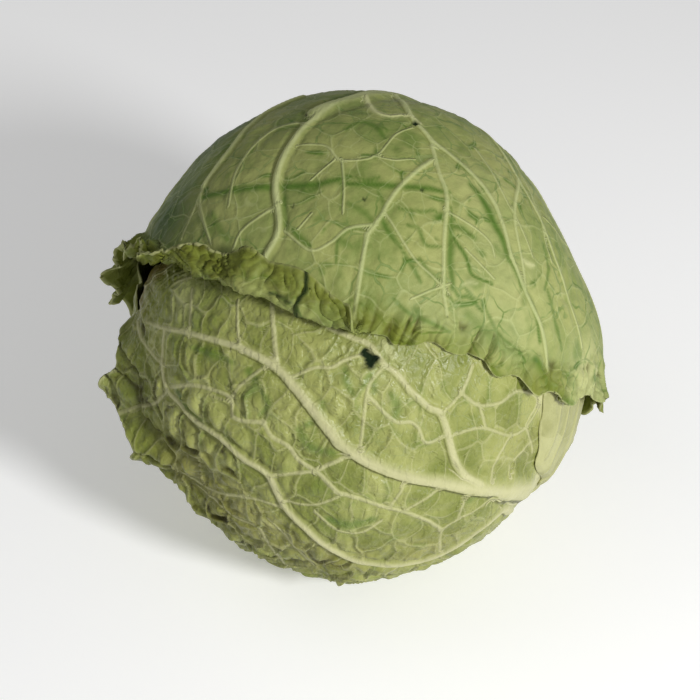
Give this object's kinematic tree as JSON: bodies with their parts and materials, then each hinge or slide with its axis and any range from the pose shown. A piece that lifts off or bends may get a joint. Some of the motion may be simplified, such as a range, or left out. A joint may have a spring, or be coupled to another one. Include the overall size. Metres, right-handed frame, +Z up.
{
  "type": "savoy cabbage",
  "caption": "Round savoy cabbage head on its side, with crinkled, strongly veined wrapper leaves round a dense heart and a short cut stalk.",
  "frame": {"origin": "middle of the small flat spot on which the head rests", "axes": "+Z up, -Y towards the side on which the front leaf shows, stalk low towards +X and +Y"},
  "size_m": [0.1937, 0.184, 0.179],
  "materials": {
    "cap_leaf": "green outer leaf with paler veins, soft wax sheen",
    "front_leaf": "yellow-green blistered leaf with pale raised veins, soft wax sheen",
    "under_leaf": "darker green blistered leaf, soft wax sheen",
    "side_leaf": "pale ribbed leaf base, smooth and slightly glossy",
    "heart_leaves": "pale green packed leaves",
    "stalk_flesh": "cut cream flesh with a drier rim"
  },
  "bodies": {
    "root": {"leaf_cap": "cap_leaf", "leaf_front": "front_leaf", "leaf_under": "under_leaf", "leaf_side": "side_leaf", "heart": "heart_leaves", "stalk": "stalk_flesh"}
  },
  "joints": []
}
